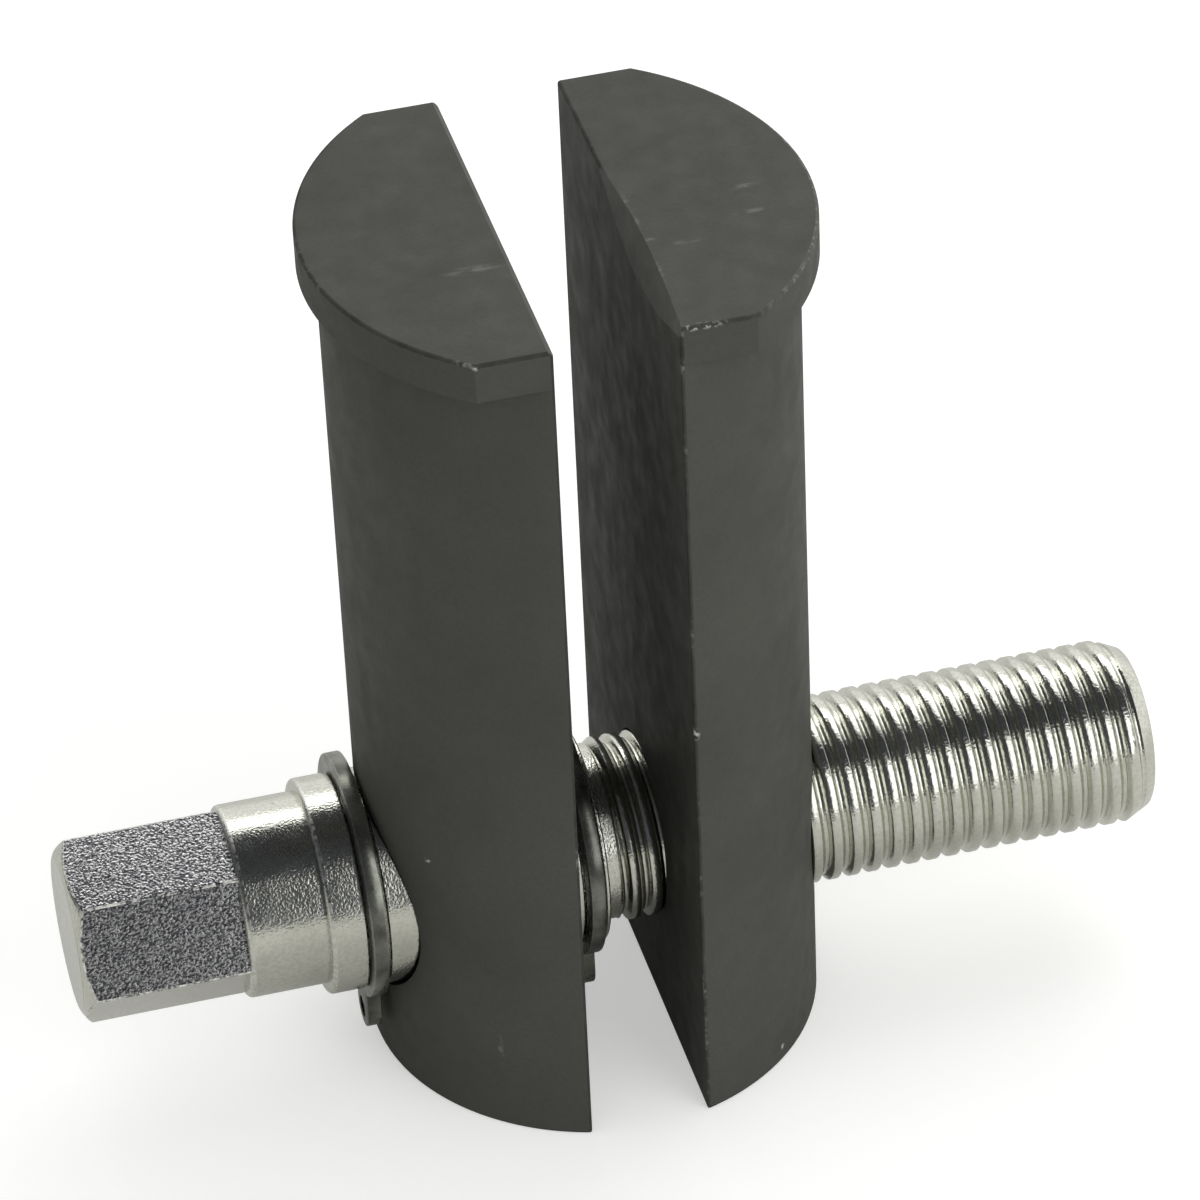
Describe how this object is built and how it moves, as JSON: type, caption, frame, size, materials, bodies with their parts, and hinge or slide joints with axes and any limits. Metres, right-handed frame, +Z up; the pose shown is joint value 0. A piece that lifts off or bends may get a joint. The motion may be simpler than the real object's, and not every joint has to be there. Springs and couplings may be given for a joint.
{
  "type": "bearing race remover",
  "caption": "Expanding puller for bearing races: two lipped half-round jaws spread apart by a captive right-hand screw with a male hexagon end.",
  "frame": {"origin": "on the plane of the jaws' feet, under the middle of the bounding box, with the jaws at the gap the picture shows", "axes": "+X along the screw from the hexagon to the threaded end, +Z up along the jaws to the lips and strike faces"},
  "size_m": [0.0838, 0.034, 0.0715],
  "materials": {
    "black_oxide": "satin black oxide, dark warm grey",
    "zinc_plate": "bright zinc plate over machined steel",
    "spring_steel": "dark oiled spring steel"
  },
  "bodies": {
    "left_jaw_body": {"left_jaw": "black_oxide"},
    "right_jaw_body": {"right_jaw": "black_oxide"},
    "screw_body": {"expander_screw": "zinc_plate", "outer_retaining_ring": "spring_steel", "inner_retaining_ring": "spring_steel"}
  },
  "joints": [
    {"name": "jaw_travel", "type": "slide", "parent": "left_jaw_body", "child": "right_jaw_body", "axis": [1, 0, 0], "range_m": [-0.00238, 0.0246]},
    {"name": "screw_turn", "type": "hinge", "parent": "left_jaw_body", "child": "screw_body", "pos_m": [-0.00165, 0, 0.015], "axis": [-1, 0, 0], "range_deg": [-540, 5580]}
  ],
  "couplings": [
    {"joint": "screw_turn", "follows": "jaw_travel", "rad_per_m": 3957.9}
  ]
}
